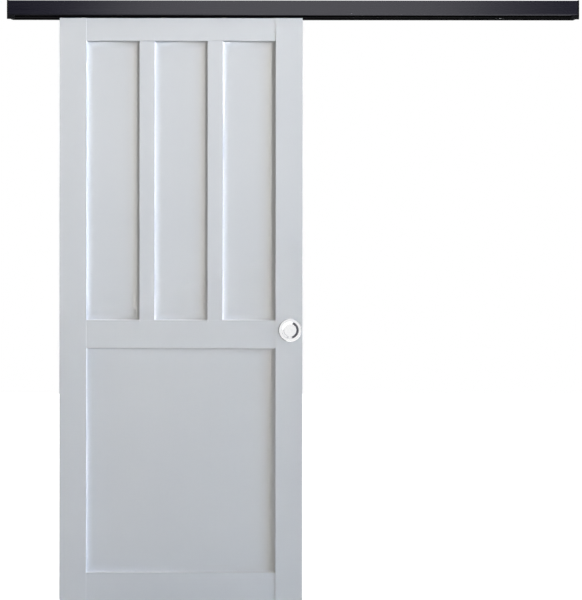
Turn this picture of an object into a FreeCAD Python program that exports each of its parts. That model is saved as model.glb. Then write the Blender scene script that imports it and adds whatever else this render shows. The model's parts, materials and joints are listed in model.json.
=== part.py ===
import FreeCAD, Part
import os
import re
import Sketcher
from FreeCAD import Rotation, Vector

# Wall-hung sliding door set with a boxed track.
#
# Frame: X runs along the wall, +X to the right for someone facing the leaf; +Y points into the
# wall and the wall's surface is Y = 0; +Z is up. The origin is the middle of the row of wall
# screws. Lengths are millimetres. The leaf is at the left end of its travel.

SIZES = (
    # Track, fascia and what holds them
    ("TrackLength", 1950, "track and fascia between the two end caps"),
    ("TrackWall", 2, "side walls of the track"),
    ("WheelSidePlay", 1.5, "wheels to the track's side walls"),
    ("WheelHeadroom", 3.6, "wheels to the roller cavity's roof"),
    ("SlotPlay", 1, "hanger bolt to each side of the slot between the treads"),
    ("InsidePlay", 2.5, "track's side walls to a slide nut, a stop or a trolley's block"),
    ("ScrewToTrack", 12, "wall screws' centre line down to the track's top"),
    ("ChannelLip", 1.5, "lips over the bolt channel"),
    ("ChannelMouth", 9, "slot between those lips"),
    ("SlideNutPlay", 0.6, "slide nut to the bolt channel's floor"),
    ("WebThickness", 2, "web between the bolt channel and the roller cavity"),
    ("TreadThickness", 2.5, "the two treads that the wheels roll on"),
    ("FasciaClear", 10, "leaf's front to the fascia's front"),
    ("FasciaWall", 2, "fascia plate"),
    ("FasciaRise", 10, "fascia's top edge above the wall screws"),
    ("FasciaShort", 2.5, "fascia's bottom edge above the track's bottom"),
    ("FasciaFlange", 10, "return along the fascia's top edge"),
    ("FasciaHem", 6, "return along the fascia's bottom edge"),
    ("FasciaBevel", 1, "bevel on the fascia's long front edges"),
    ("BeadHeight", 3, "middle of the shadow groove above the fascia's bottom edge"),
    ("BeadDepth", 0.8, "shadow groove, depth and half width"),
    ("RibReach", 5, "fascia's clip ribs, out from the plate"),
    ("RibThickness", 1.6, "fascia's clip ribs"),
    ("CapThickness", 5, "end cap plate"),
    ("CapProud", 0.8, "end cap past the fascia's top, front and bottom"),
    ("SkirtDrop", 13, "end cap's skirt below the fascia"),
    ("SkirtWidth", 25, "end cap's skirt along the fascia"),
    ("SkirtThickness", 3.8, "end cap's skirt, front to back"),
    ("SkirtPlay", 0.3, "between the fascia's bottom edge and the end cap's skirt"),
    ("PlugLength", 14, "end cap plug inside the track"),
    ("PlugPlay", 0.3, "gap around that plug"),
    ("BracketWidth", 76, "wall bracket along the wall"),
    ("BracketThickness", 3, "wall bracket plate"),
    ("BracketRise", 9, "wall bracket above the screw line"),
    ("OuterBracket", 800, "outer brackets from the middle"),
    ("InnerBracket", 270, "inner brackets from the middle"),
    ("WallScrewSpan", 50, "between the two wall screw holes of a bracket"),
    ("WallScrewHole", 5.5, "wall screw hole, diameter"),
    ("TrackBolt", 6, "bolt from bracket to track, diameter"),
    ("TrackBoltPlay", 0.6, "bolt hole over bolt, diameter"),
    ("TrackBoltFlats", 10, "bolt head across flats"),
    ("TrackBoltHead", 4, "bolt head height"),
    ("SlideNutHeight", 3, "slide nut thickness"),
    ("ClipWidth", 76, "fascia clip along the wall"),
    ("ClipThickness", 2.5, "fascia clip plate and arms"),
    ("ClipHigh", 2, "upper clip arm below the track's top"),
    ("ClipLow", 8, "lower clip arm above the track's bottom"),
    ("ClipPlay", 0.1, "gap between a clip arm and what holds it"),
    ("OuterClip", 733, "outer clips from the middle"),
    ("InnerClip", 156, "inner clips from the middle"),
    ("ClipScrew", 3.5, "clip screw, diameter"),
    ("ClipScrewHead", 7, "clip screw head, diameter"),
    ("ClipScrewHeadHeight", 2, "clip screw head, height"),
    ("ClipScrewSpan", 50, "between the two screws of a clip"),
    ("StopLength", 30, "track stop along the track"),
    ("StopHeadroom", 3.9, "track stop to the roller cavity's roof"),
    ("StopScrew", 6, "track stop's clamping screw, diameter"),
    ("BufferLength", 10, "rubber buffer ahead of its stop"),
    ("BufferWidth", 12, "rubber buffer, diameter"),
    ("BufferSpigot", 6, "rubber buffer's spigot, diameter and length"),
    ("BufferPlay", 0.3, "gap between a buffer and the trolley that has reached it"),
    # Trolleys and hangers
    ("TrolleyHeight", 16, "trolley casting"),
    ("ArmPast", 3, "trolley's ends past its wheels"),
    ("BlockClear", 6, "trolley's middle block to a wheel's rim"),
    ("ArmThickness", 8, "arms that carry the axles"),
    ("AxlePitch", 56, "between the two axles of a trolley"),
    ("AxleWidth", 5, "axle, diameter"),
    ("WheelRadius", 9, "wheel over its tyre"),
    ("WheelWidth", 6.5, "tyre width"),
    ("WheelGap", 2.5, "between an arm and a wheel"),
    ("WheelLift", 0.3, "running gap between tyre and tread"),
    ("TyreEdge", 0.8, "bevel at the tyre's edges"),
    ("BearingRadius", 6.5, "bearing inside the tyre"),
    ("RunningFit", 0.05, "radial clearance of an axle or a bolt in its bore"),
    ("HangerBolt", 8, "hanger bolt, diameter"),
    ("HangerFlats", 13, "hanger bolt and lock nut across flats"),
    ("HangerHead", 5.3, "hanger bolt head height"),
    ("LockNutHeight", 4, "lock nut"),
    ("BoltShort", 0.5, "hanger bolt's end below the trolley's top"),
    ("HangerInset", 150, "hanger bolt in from the leaf's edge"),
    # Leaf
    ("WallGap", 30, "wall to the leaf's back"),
    ("LeafWidth", 835, "leaf width"),
    ("LeafHeight", 2040, "leaf height"),
    ("LeafThickness", 40, "stile thickness"),
    ("LeafGap", 4, "track to the leaf's top"),
    ("FloorGap", 10, "floor to the leaf's bottom"),
    ("LeftOverhang", 178, "track set's left end to the leaf's left edge"),
    ("StileWidth", 92, "stiles"),
    ("TopRailHeight", 78, "top rail"),
    ("LockRailTop", 1039, "leaf's top to the lock rail's top"),
    ("LockRailHeight", 96, "lock rail"),
    ("BottomRailHeight", 133, "bottom rail"),
    ("MullionWidth", 52, "mullions between the upper panels"),
    ("RailStep", 1.5, "rail face behind the stile face"),
    ("MullionStep", 3, "mullion face behind the stile face"),
    ("PanelThickness", 14, "panels, and the tongues of rails and mullions"),
    ("GrooveDepth", 10, "groove that houses panels and tongues"),
    ("GroovePlay", 0.2, "gap on each face of what sits in a groove"),
    ("PanelShort", 1.5, "panel edge to the groove's floor"),
    ("DowelWidth", 10, "dowels, diameter"),
    ("DowelLength", 32, "dowels, length"),
    ("NotchEnd", 4, "gap at each end of a hanger plate in its notch"),
    ("NotchFront", 1, "gap ahead of a hanger plate in its notch"),
    ("DowelSpread", 44, "between the two dowels of a joint"),
    # Hanger plates, pulls and floor guide
    ("PlateFlange", 20, "hanger plate's flanges, along the leaf"),
    ("HeadSide", 5.5, "hanger bolt's head to the plate's upright webs"),
    ("HeadClear", 5.7, "hanger bolt's head to the notch's floor"),
    ("NutSunk", 0.5, "lock nut's top below the leaf's top"),
    ("PlateWidth", 24, "hanger plate, front to back"),
    ("PlateThickness", 3, "hanger plate sheet"),
    ("PlateScrew", 4.4, "plate screw, diameter"),
    ("PlateScrewLength", 30, "plate screw below the flange"),
    ("PlateScrewHead", 8, "plate screw head, diameter"),
    ("PlateScrewHeadHeight", 2.4, "plate screw head, height"),
    ("PullWidth", 80, "pull flange, diameter"),
    ("PullEdge", 2, "pull flange to the leaf's right edge"),
    ("PullDrop", 1073, "leaf's top to the pull's centre"),
    ("PullFlange", 2, "pull flange thickness"),
    ("PullBevel", 0.7, "bevel on the flange's edges"),
    ("CupWidth", 58, "finger cup inside, diameter"),
    ("CupDepth", 5, "finger cup below the leaf's face"),
    ("CupSlope", 7, "finger cup's floor inside its rim, on each side"),
    ("CupWall", 1.2, "finger cup sheet"),
    ("CupPlay", 0.3, "gap around the cup in its bore"),
    ("GuideWidth", 30, "floor guide's base, front to back"),
    ("GuideBase", 3, "floor guide's base thickness"),
    ("FinLength", 40, "floor guide's fin"),
    ("FinThickness", 6, "floor guide's fin"),
    ("FinSide", 1, "gap on each side of the fin in the leaf's groove"),
    ("FinTop", 8, "fin to the groove's roof"),
    ("FinHeight", 22, "floor guide's fin above the floor"),
    ("GuideScrewClear", 6, "fin's end to a floor screw's centre"),
    ("GuideEnd", 7, "floor screw's centre to the base's end"),
    ("GuideScrewHole", 4.4, "floor screw hole, diameter"),
)

# Places and sizes that follow from the ones above.
PLACES = {
    "MiddlePlane": "0 - WallGap - LeafThickness / 2",
    "LeafFront": "0 - WallGap - LeafThickness",
    "LeafBack": "0 - WallGap",
    "FasciaOut": "WallGap + LeafThickness + FasciaClear",
    "WheelInner": "ArmThickness / 2 + WheelGap",
    "WheelOuter": "WheelInner + WheelWidth",
    "TrackWidth": "2 * (WheelOuter + WheelSidePlay + TrackWall)",
    "InsideWidth": "TrackWidth - 2 * TrackWall - 2 * InsidePlay",
    "ChannelHeight": "SlideNutHeight + SlideNutPlay",
    "CavityHeight": "WheelLift + 2 * WheelRadius + WheelHeadroom",
    "SlotWidth": "HangerBolt + 2 * SlotPlay",
    "StopHeight": "CavityHeight - StopHeadroom",
    "TrackTop": "0 - ScrewToTrack",
    "ChannelRoof": "TrackTop - ChannelLip",
    "ChannelFloor": "ChannelRoof - ChannelHeight",
    "CavityRoof": "ChannelFloor - WebThickness",
    "Tread": "CavityRoof - CavityHeight",
    "TrackBottom": "Tread - TreadThickness",
    "TrackFront": "MiddlePlane - TrackWidth / 2",
    "TrackBack": "MiddlePlane + TrackWidth / 2",
    "CavityFront": "TrackFront + TrackWall",
    "CavityBack": "TrackBack - TrackWall",
    "FasciaBottom": "TrackBottom + FasciaShort",
    "FasciaInner": "FasciaWall - FasciaOut",
    "LeafTop": "TrackBottom - LeafGap",
    "LeafBottom": "LeafTop - LeafHeight",
    "Floor": "LeafBottom - FloorGap",
    "LeafLeft": "LeftOverhang - TrackLength / 2 - CapThickness",
    "LeafRight": "LeafLeft + LeafWidth",
    "HangerLeft": "LeafLeft + HangerInset",
    "HangerRight": "LeafRight - HangerInset",
    "WheelCentre": "Tread + WheelLift + WheelRadius",
    "TrolleyBottom": "WheelCentre - TrolleyHeight / 2",
    "TrolleyLength": "AxlePitch + 2 * WheelRadius + 2 * ArmPast",
    "BlockLength": "AxlePitch - 2 * WheelRadius - 2 * BlockClear",
    "StopFace": "0 - LeafLeft - HangerInset + TrolleyLength / 2 + BufferPlay + BufferLength",
    "UpperArm": "TrackTop - ClipHigh",
    "LowerArm": "TrackBottom + ClipLow",
    "PlateHeight": "PlateThickness + HangerHead + HeadClear",
    "PlateRaised": "2 * (HangerFlats / sqrt(3) + HeadSide + PlateThickness)",
    "PlateLength": "PlateRaised + 2 * PlateFlange",
    "PlateScrewSpan": "PlateRaised + PlateFlange",
    "PlateTop": "LeafTop - NutSunk - LockNutHeight",
    "NotchFloor": "PlateTop - PlateHeight",
    "OpeningLeft": "LeafLeft + StileWidth",
    "OpeningRight": "LeafRight - StileWidth",
    "TopRailBottom": "LeafTop - TopRailHeight",
    "LockTop": "LeafTop - LockRailTop",
    "LockBottom": "LockTop - LockRailHeight",
    "BottomRailTop": "LeafBottom + BottomRailHeight",
    "UpperPanelWidth": "(OpeningRight - OpeningLeft - 2 * MullionWidth) / 3",
    "FirstMullion": "OpeningLeft + UpperPanelWidth",
    "SecondMullion": "OpeningRight - UpperPanelWidth - MullionWidth",
    "GrooveHalf": "PanelThickness / 2 + GroovePlay",
    "PanelEdge": "GrooveDepth - PanelShort",
    "PullCentre": "LeafRight - PullEdge - PullWidth / 2",
    "PullLevel": "LeafTop - PullDrop",
    "CupBore": "CupWidth / 2 + CupWall + CupPlay",
    "CupBottom": "CupDepth + CupWall",
    "GuideGroove": "FinThickness + 2 * FinSide",
    "GuideGrooveDepth": "FinHeight - FloorGap + FinTop",
    "GuideScrewSpan": "FinLength + 2 * GuideScrewClear",
    "GuideLength": "GuideScrewSpan + 2 * GuideEnd",
}

AXIS_TURN = {
    "x": Rotation(Vector(0, 1, 0), 90),
    "y": Rotation(Vector(1, 0, 0), -90),
    "z": Rotation(),
}

document = FreeCAD.newDocument("SlidingDoorSet")
sheet = document.addObject("Spreadsheet::Sheet", "Sizes")
for row, (alias, amount, meaning) in enumerate(SIZES, start=1):
    sheet.set(f"A{row}", str(amount))
    sheet.setAlias(f"A{row}", alias)
    sheet.set(f"B{row}", meaning)
document.recompute()

ALIASES = {alias for alias, amount, meaning in SIZES}
subparts = []


# ---------------------------------------------------------------- formulas
def spelled(formula):
    """The formula with each size written as its cell, and each place written out in full."""

    def swap(match):
        word = match.group(0)
        if word in PLACES:
            return f"({spelled(PLACES[word])})"
        return f"Sizes.{word}" if word in ALIASES else word

    return re.sub(r"[A-Za-z]\w*", swap, str(formula))


def value(formula):
    return float(sheet.evalExpression(spelled(formula)))


def bind(item, property_name, formula):
    item.setExpression(property_name, spelled(formula))


def put(item, x="0", y="0", z="0"):
    for axis, formula in zip("xyz", (x, y, z)):
        bind(item, f"Placement.Base.{axis}", formula)
    return item


# ---------------------------------------------------------------- solids from primitives
def box(x, y, z):
    """A block between two formulas on each axis."""
    item = document.addObject("Part::Box", "Block")
    for property_name, (low, high) in zip(("Length", "Width", "Height"), (x, y, z)):
        bind(item, property_name, f"({high}) - ({low})")
    return put(item, x[0], y[0], z[0])


def rod(diameter, length, axis, x, y, z):
    """A cylinder that runs from x, y, z along an axis."""
    item = document.addObject("Part::Cylinder", "Rod")
    item.Placement.Rotation = AXIS_TURN[axis]
    bind(item, "Radius", f"({diameter}) / 2")
    bind(item, "Height", length)
    return put(item, x, y, z)


def hexagon(flats, height, x, y, z):
    item = document.addObject("Part::Prism", "Hexagon")
    item.Polygon = 6
    bind(item, "Circumradius", f"({flats}) / sqrt(3)")
    bind(item, "Height", height)
    return put(item, x, y, z)


def joined(items):
    if len(items) == 1:
        return items[0]
    item = document.addObject("Part::MultiFuse", "Joined")
    item.Shapes = items
    return item


def cut(base, tools):
    item = document.addObject("Part::Cut", "Cut")
    item.Base = base
    item.Tool = joined(tools)
    return item


def group(items):
    """Separate solids that share one node."""
    item = document.addObject("Part::Compound", "Group")
    item.Links = items
    return item


# ---------------------------------------------------------------- solids from sketches
def new_sketch(body, plane, offset="0"):
    sketch = body.newObject("Sketcher::SketchObject", "Outline")
    support = next(item for item in body.Origin.OriginFeatures if item.Role == plane)
    sketch.AttachmentSupport = [(support, "")]
    sketch.MapMode = "FlatFace"
    bind(sketch, "AttachmentOffset.Base.z", offset)
    return sketch


def fix_point(sketch, edge, end, across, up):
    for kind, formula in (("DistanceX", across), ("DistanceY", up)):
        constraint = Sketcher.Constraint(kind, -1, 1, edge, end, value(formula))
        bind(sketch, f"Constraints[{sketch.addConstraint(constraint)}]", formula)


def draw_polygon(sketch, corners):
    points = [Vector(value(across), value(up), 0) for across, up in corners]
    first = sketch.GeometryCount
    for start, end in zip(points, points[1:] + points[:1]):
        sketch.addGeometry(Part.LineSegment(start, end), False)
    for number, (across, up) in enumerate(corners):
        following = first + (number + 1) % len(corners)
        sketch.addConstraint(Sketcher.Constraint("Coincident", first + number, 2, following, 1))
        fix_point(sketch, first + number, 1, across, up)


def draw_circle(sketch, across, up, diameter):
    centre = Vector(value(across), value(up), 0)
    radius = value(diameter) / 2
    edge = sketch.addGeometry(Part.Circle(centre, Vector(0, 0, 1), radius), False)
    fix_point(sketch, edge, 3, across, up)
    number = sketch.addConstraint(Sketcher.Constraint("Radius", edge, radius))
    bind(sketch, f"Constraints[{number}]", f"({diameter}) / 2")


def new_body():
    return document.addObject("PartDesign::Body", "Body")


def pad(body, sketch, length):
    feature = body.newObject("PartDesign::Pad", "Pad")
    feature.Profile = sketch
    bind(feature, "Length", length)


def pocket_through(body, sketch):
    feature = body.newObject("PartDesign::Pocket", "Pocket")
    feature.Profile = sketch
    feature.Type = "ThroughAll"
    feature.SideType = "Symmetric"


def revolve(body, sketch):
    feature = body.newObject("PartDesign::Revolution", "Revolution")
    feature.Profile = sketch
    feature.ReferenceAxis = (sketch, ["V_Axis"])
    feature.Angle = 360


def profile_bar(corners, length, middle="0"):
    """A bar along X with this section, each corner given as (y, z)."""
    body = new_body()
    sketch = new_sketch(body, "YZ_Plane", f"0 - ({length}) / 2")
    draw_polygon(sketch, corners)
    pad(body, sketch, length)
    return put(body, x=middle)


def keep(label, item):
    item.Label = label
    subparts.append(item)


# ---------------------------------------------------------------- track, fascia and their fixings
def make_track():
    """Extruded bar: a bolt channel that opens upwards over a roller cavity that opens downwards."""
    mouth_front = "MiddlePlane - ChannelMouth / 2"
    mouth_back = "MiddlePlane + ChannelMouth / 2"
    slot_front = "MiddlePlane - SlotWidth / 2"
    slot_back = "MiddlePlane + SlotWidth / 2"
    corners = (
        ("TrackFront", "TrackBottom"),
        (slot_front, "TrackBottom"),
        (slot_front, "Tread"),
        ("CavityFront", "Tread"),
        ("CavityFront", "CavityRoof"),
        ("CavityBack", "CavityRoof"),
        ("CavityBack", "Tread"),
        (slot_back, "Tread"),
        (slot_back, "TrackBottom"),
        ("TrackBack", "TrackBottom"),
        ("TrackBack", "TrackTop"),
        (mouth_back, "TrackTop"),
        (mouth_back, "ChannelRoof"),
        ("CavityBack", "ChannelRoof"),
        ("CavityBack", "ChannelFloor"),
        ("CavityFront", "ChannelFloor"),
        ("CavityFront", "ChannelRoof"),
        (mouth_front, "ChannelRoof"),
        (mouth_front, "TrackTop"),
        ("TrackFront", "TrackTop"),
    )
    bar = profile_bar(corners, "TrackLength")
    holes = [
        rod("ClipScrew", "TrackWall", "y", clip_screw_x(middle, side), "TrackFront", clip_level())
        for middle in clip_middles()
        for side in (-1, 1)
    ]
    keep("track", cut(bar, holes))


def clip_middles():
    return ("0 - OuterClip", "0 - InnerClip", "InnerClip", "OuterClip")


def clip_screw_x(middle, side):
    return f"{middle} + ({side}) * ClipScrewSpan / 2"


def clip_level():
    return "(UpperArm + LowerArm) / 2"


def make_fascia():
    """Extruded front plate with a return along each long edge and two pairs of ribs for the clips."""
    front = "0 - FasciaOut"
    groove_floor = "BeadDepth - FasciaOut"
    bead = "FasciaBottom + BeadHeight"
    rib = "FasciaInner + RibReach"
    corners = [
        ("FasciaInner + FasciaHem - FasciaWall", "FasciaBottom"),
        ("FasciaInner + FasciaHem - FasciaWall", "FasciaBottom + FasciaWall"),
        ("FasciaInner", "FasciaBottom + FasciaWall"),
    ]
    for arm_bottom, arm_top in (
        ("LowerArm - ClipPlay", "LowerArm + ClipThickness + ClipPlay"),
        ("UpperArm - ClipThickness - ClipPlay", "UpperArm + ClipPlay"),
    ):
        corners += [
            ("FasciaInner", f"{arm_bottom} - RibThickness"),
            (rib, f"{arm_bottom} - RibThickness"),
            (rib, arm_bottom),
            ("FasciaInner", arm_bottom),
            ("FasciaInner", arm_top),
            (rib, arm_top),
            (rib, f"{arm_top} + RibThickness"),
            ("FasciaInner", f"{arm_top} + RibThickness"),
        ]
    corners += [
        ("FasciaInner", "FasciaRise - FasciaWall"),
        ("FasciaInner + FasciaFlange - FasciaWall", "FasciaRise - FasciaWall"),
        ("FasciaInner + FasciaFlange - FasciaWall", "FasciaRise"),
        (f"{front} + FasciaBevel", "FasciaRise"),
        (front, "FasciaRise - FasciaBevel"),
        (front, f"{bead} + BeadDepth"),
        (groove_floor, bead),
        (front, f"{bead} - BeadDepth"),
        (front, "FasciaBottom + FasciaBevel"),
        (f"{front} + FasciaBevel", "FasciaBottom"),
    ]
    keep("fascia", profile_bar(corners, "TrackLength"))


def make_end_cap(label, side):
    """Plate over one end of the track set, with a plug in the track's roller cavity and a skirt at its front."""
    start = "TrackLength / 2 - PlugLength"
    plate = box(
        ("TrackLength / 2", "TrackLength / 2 + CapThickness"),
        ("0 - FasciaOut - CapProud", "TrackBack"),
        ("FasciaBottom - CapProud", "FasciaRise + CapProud"),
    )
    skirt = box(
        ("TrackLength / 2 + CapThickness - SkirtWidth", "TrackLength / 2 + CapThickness"),
        ("0 - FasciaOut - CapProud", "0 - FasciaOut - CapProud + SkirtThickness"),
        ("FasciaBottom - SkirtDrop", "FasciaBottom - SkirtPlay"),
    )
    plug = box(
        (start, "TrackLength / 2 + CapThickness / 2"),
        ("CavityFront + PlugPlay", "CavityBack - PlugPlay"),
        ("Tread + PlugPlay", "CavityRoof - PlugPlay"),
    )
    cap = joined([plate, plug, skirt])
    if side < 0:
        mirrored = document.addObject("Part::Mirroring", "Mirrored")
        mirrored.Source = cap
        mirrored.Normal = Vector(1, 0, 0)
        cap = mirrored
    keep(label, cap)


def bracket_middles():
    return ("0 - OuterBracket", "0 - InnerBracket", "InnerBracket", "OuterBracket")


def make_wall_bracket(label, middle):
    """Steel angle: one leg flat on the wall, the other over the track."""
    inner = "0 - BracketThickness"
    corners = (
        ("0", "TrackTop"),
        ("0", "BracketRise"),
        (inner, "BracketRise"),
        (inner, "TrackTop + BracketThickness"),
        ("TrackFront", "TrackTop + BracketThickness"),
        ("TrackFront", "TrackTop"),
    )
    body = profile_bar(corners, "BracketWidth", middle)
    wall_holes = new_sketch(body, "XZ_Plane")
    draw_circle(wall_holes, "0 - WallScrewSpan / 2", "0", "WallScrewHole")
    draw_circle(wall_holes, "WallScrewSpan / 2", "0", "WallScrewHole")
    pocket_through(body, wall_holes)
    bolt_hole = new_sketch(body, "XY_Plane")
    draw_circle(bolt_hole, "0", "MiddlePlane", "TrackBolt + TrackBoltPlay")
    pocket_through(body, bolt_hole)
    keep(label, body)


def make_track_bolts():
    """Hexagon bolts down through the brackets into square nuts in the track's bolt channel."""
    leg_top = "TrackTop + BracketThickness"
    nut_bottom = "ChannelRoof - SlideNutHeight"
    half_nut = "InsideWidth / 2"
    bolts = []
    nuts = []
    for middle in bracket_middles():
        head = hexagon("TrackBoltFlats", "TrackBoltHead", middle, "MiddlePlane", leg_top)
        shank = rod("TrackBolt", f"{leg_top} - ({nut_bottom})", "z", middle, "MiddlePlane", nut_bottom)
        bolts.append(joined([head, shank]))
        nut = box(
            (f"{middle} - {half_nut}", f"{middle} + {half_nut}"),
            (f"MiddlePlane - {half_nut}", f"MiddlePlane + {half_nut}"),
            (nut_bottom, "ChannelRoof"),
        )
        bore = rod("TrackBolt", "SlideNutHeight", "z", middle, "MiddlePlane", nut_bottom)
        nuts.append(cut(nut, [bore]))
    keep("bracket_bolts", group(bolts))
    keep("slide_nuts", group(nuts))


def make_fascia_clip(label, middle):
    """U-shaped clip: its back is screwed to the track, its two arms hold the fascia's ribs."""
    arm_end = "FasciaInner + ClipPlay"
    back = "TrackFront - ClipThickness"
    corners = (
        ("TrackFront", "LowerArm"),
        ("TrackFront", "UpperArm"),
        (arm_end, "UpperArm"),
        (arm_end, "UpperArm - ClipThickness"),
        (back, "UpperArm - ClipThickness"),
        (back, "LowerArm + ClipThickness"),
        (arm_end, "LowerArm + ClipThickness"),
        (arm_end, "LowerArm"),
    )
    body = profile_bar(corners, "ClipWidth", middle)
    holes = new_sketch(body, "XZ_Plane")
    draw_circle(holes, "0 - ClipScrewSpan / 2", clip_level(), "ClipScrew")
    draw_circle(holes, "ClipScrewSpan / 2", clip_level(), "ClipScrew")
    pocket_through(body, holes)
    keep(label, body)


def make_clip_screws():
    screws = []
    face = "TrackFront - ClipThickness"
    for middle in clip_middles():
        for side in (-1, 1):
            x = clip_screw_x(middle, side)
            head_start = f"{face} - ClipScrewHeadHeight"
            head = rod("ClipScrewHead", "ClipScrewHeadHeight", "y", x, head_start, clip_level())
            shank = rod("ClipScrew", "ClipThickness + TrackWall", "y", x, face, clip_level())
            screws.append(joined([head, shank]))
    keep("clip_screws", group(screws))


def make_track_stop(side_name, side):
    """Block on the treads with a rubber buffer towards the trolleys; its screw clamps it from below."""
    face = f"({side}) * StopFace"
    far = f"({side}) * (StopFace + StopLength)"
    middle = f"({side}) * (StopFace + StopLength / 2)"
    low, high = (far, face) if side < 0 else (face, far)
    level = "WheelCentre"
    block = box(
        (low, high),
        ("MiddlePlane - InsideWidth / 2", "MiddlePlane + InsideWidth / 2"),
        ("Tread", "Tread + StopHeight"),
    )
    spigot_end = face if side > 0 else f"{face} - BufferSpigot"
    spigot_hole = rod("BufferSpigot", "BufferSpigot", "x", spigot_end, "MiddlePlane", level)
    screw_hole = rod("StopScrew", "StopHeight / 2", "z", middle, "MiddlePlane", "Tread")
    keep(f"stop_{side_name}", cut(block, [spigot_hole, screw_hole]))
    buffer_start = f"{face} - BufferLength" if side > 0 else face
    cushion = rod("BufferWidth", "BufferLength", "x", buffer_start, "MiddlePlane", level)
    spigot = rod("BufferSpigot", "BufferSpigot", "x", spigot_end, "MiddlePlane", level)
    keep(f"stop_buffer_{side_name}", joined([cushion, spigot]))
    screw_length = "StopHeight / 2 + TreadThickness / 2"
    return rod("StopScrew", screw_length, "z", middle, "MiddlePlane", "Tread - TreadThickness / 2")


def make_floor_guide():
    """Base plate on the floor with an upright fin that runs in the leaf's bottom groove."""
    y_middle = "MiddlePlane"
    base = box(
        ("0 - GuideLength / 2", "GuideLength / 2"),
        (f"{y_middle} - GuideWidth / 2", f"{y_middle} + GuideWidth / 2"),
        ("Floor", "Floor + GuideBase"),
    )
    fin = box(
        ("0 - FinLength / 2", "FinLength / 2"),
        (f"{y_middle} - FinThickness / 2", f"{y_middle} + FinThickness / 2"),
        ("Floor", "Floor + FinHeight"),
    )
    holes = [
        rod("GuideScrewHole", "GuideBase", "z", f"({side}) * GuideScrewSpan / 2", y_middle, "Floor")
        for side in (-1, 1)
    ]
    keep("floor_guide", cut(joined([base, fin]), holes))


# ---------------------------------------------------------------- trolleys and hangers
def make_trolley(label, middle):
    """Cast body: a block for the hanger bolt between two arms that carry the axles."""
    end = "TrolleyLength / 2"
    arm = "ArmThickness / 2"
    block_end = "BlockLength / 2"
    block_side = "InsideWidth / 2"
    corners = (
        (f"0 - {end}", f"0 - {arm}"),
        (f"0 - {block_end}", f"0 - {arm}"),
        (f"0 - {block_end}", f"0 - {block_side}"),
        (block_end, f"0 - {block_side}"),
        (block_end, f"0 - {arm}"),
        (end, f"0 - {arm}"),
        (end, arm),
        (block_end, arm),
        (block_end, block_side),
        (f"0 - {block_end}", block_side),
        (f"0 - {block_end}", arm),
        (f"0 - {end}", arm),
    )
    body = new_body()
    plan = new_sketch(body, "XY_Plane", "0 - TrolleyHeight / 2")
    draw_polygon(plan, corners)
    pad(body, plan, "TrolleyHeight")
    axle_bores = new_sketch(body, "XZ_Plane")
    draw_circle(axle_bores, "0 - AxlePitch / 2", "0", "AxleWidth + 2 * RunningFit")
    draw_circle(axle_bores, "AxlePitch / 2", "0", "AxleWidth + 2 * RunningFit")
    pocket_through(body, axle_bores)
    bolt_bore = new_sketch(body, "XY_Plane")
    draw_circle(bolt_bore, "0", "0", "HangerBolt + 2 * RunningFit")
    pocket_through(body, bolt_bore)
    keep(label, put(body, middle, "MiddlePlane", "WheelCentre"))


def make_wheel_ring(middle, y_low, y_high, bore, outside, edge):
    """A ring about an axis along Y, bevelled at its outer edges."""
    body = new_body()
    half_section = new_sketch(body, "XY_Plane")
    corners = (
        (bore, y_low),
        (f"{outside} - {edge}", y_low),
        (outside, f"{y_low} + {edge}"),
        (outside, f"{y_high} - {edge}"),
        (f"{outside} - {edge}", y_high),
        (bore, y_high),
    )
    draw_polygon(half_section, corners)
    revolve(body, half_section)
    return put(body, middle, "MiddlePlane", "WheelCentre")


def make_wheelset(name, middle):
    """An axle with a ball-bearing wheel on each side of its trolley."""
    half_axle = "(WheelOuter - TyreEdge / 2)"
    axle = rod(
        "AxleWidth", f"2 * {half_axle}", "y", middle, f"MiddlePlane - {half_axle}", "WheelCentre"
    )
    keep(f"axle_{name}", axle)
    sides = (("0 - WheelOuter", "0 - WheelInner"), ("WheelInner", "WheelOuter"))
    bearings = [
        make_wheel_ring(
            middle,
            f"{low} + TyreEdge",
            f"{high} - TyreEdge",
            "AxleWidth / 2",
            "BearingRadius",
            "TyreEdge / 4",
        )
        for low, high in sides
    ]
    tyres = [
        make_wheel_ring(middle, low, high, "BearingRadius", "WheelRadius", "TyreEdge")
        for low, high in sides
    ]
    keep(f"bearings_{name}", group(bearings))
    keep(f"tyres_{name}", group(tyres))


def make_hanger(side_name, middle):
    """Hexagon bolt hung up through the leaf's plate into the trolley, and its lock nut."""
    head_top = "PlateTop - PlateThickness"
    bolt_top = "TrolleyBottom + TrolleyHeight - BoltShort"
    head = hexagon("HangerFlats", "HangerHead", middle, "MiddlePlane", f"{head_top} - HangerHead")
    shank = rod("HangerBolt", f"{bolt_top} - ({head_top})", "z", middle, "MiddlePlane", head_top)
    keep(f"hanger_bolt_{side_name}", joined([head, shank]))
    nut = hexagon("HangerFlats", "LockNutHeight", middle, "MiddlePlane", "PlateTop")
    bore_size = "HangerBolt + 2 * RunningFit"
    bore = rod(bore_size, "LockNutHeight", "z", middle, "MiddlePlane", "PlateTop")
    keep(f"lock_nut_{side_name}", cut(nut, [bore]))


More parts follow.
